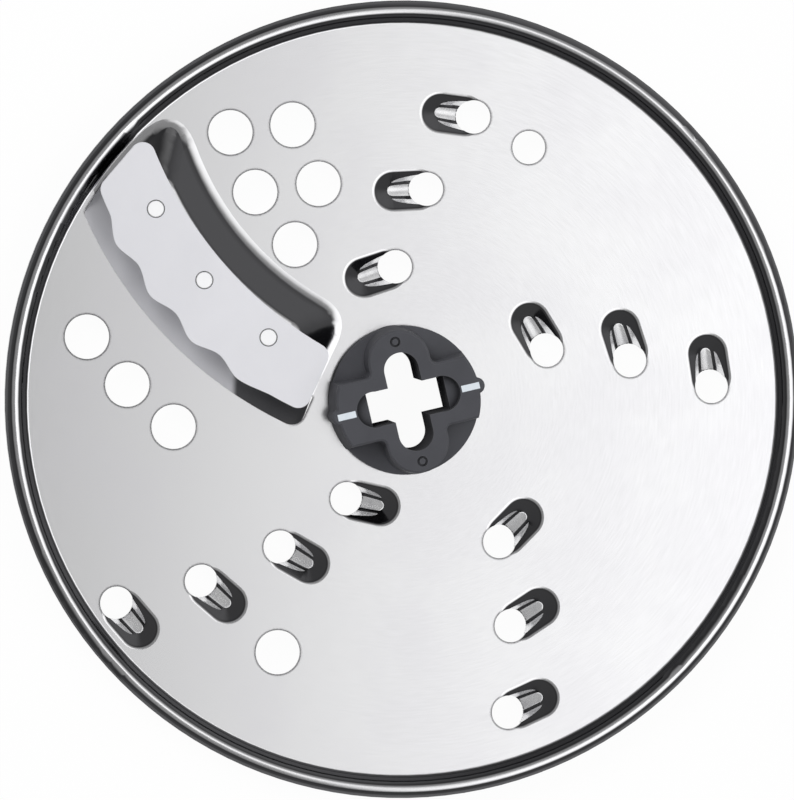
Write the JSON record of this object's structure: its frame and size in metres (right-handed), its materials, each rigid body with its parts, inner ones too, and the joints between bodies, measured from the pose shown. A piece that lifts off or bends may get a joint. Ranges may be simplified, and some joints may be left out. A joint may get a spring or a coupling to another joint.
{
  "type": "food processor disc",
  "caption": "Stainless food processor disc that slices on one side with a scalloped blade and shreds on the other with hooded teeth, on a plastic hub with a cross-shaped drive socket.",
  "frame": {"origin": "on the drive axis, at the foot of the hub, which is the lowest face of the part", "axes": "+Z along the drive axis, out of the slicing side; +X to the right and +Y up, as seen looking down on the slicing side with the blade at the upper left"},
  "size_m": [0.165, 0.165, 0.0169],
  "materials": {
    "disc_sheet": "satin polished stainless sheet",
    "blade_steel": "fine ground flat blade",
    "rivet_steel": "flush ground rivet heads",
    "hub_plastic": "satin moulded plastic",
    "mark_inlay": "pale moulded inlay"
  },
  "bodies": {
    "root": {"disc_plate": "disc_sheet", "slicing_blade": "blade_steel", "blade_rivets": "rivet_steel", "drive_hub": "hub_plastic", "index_marks": "mark_inlay"}
  },
  "joints": []
}
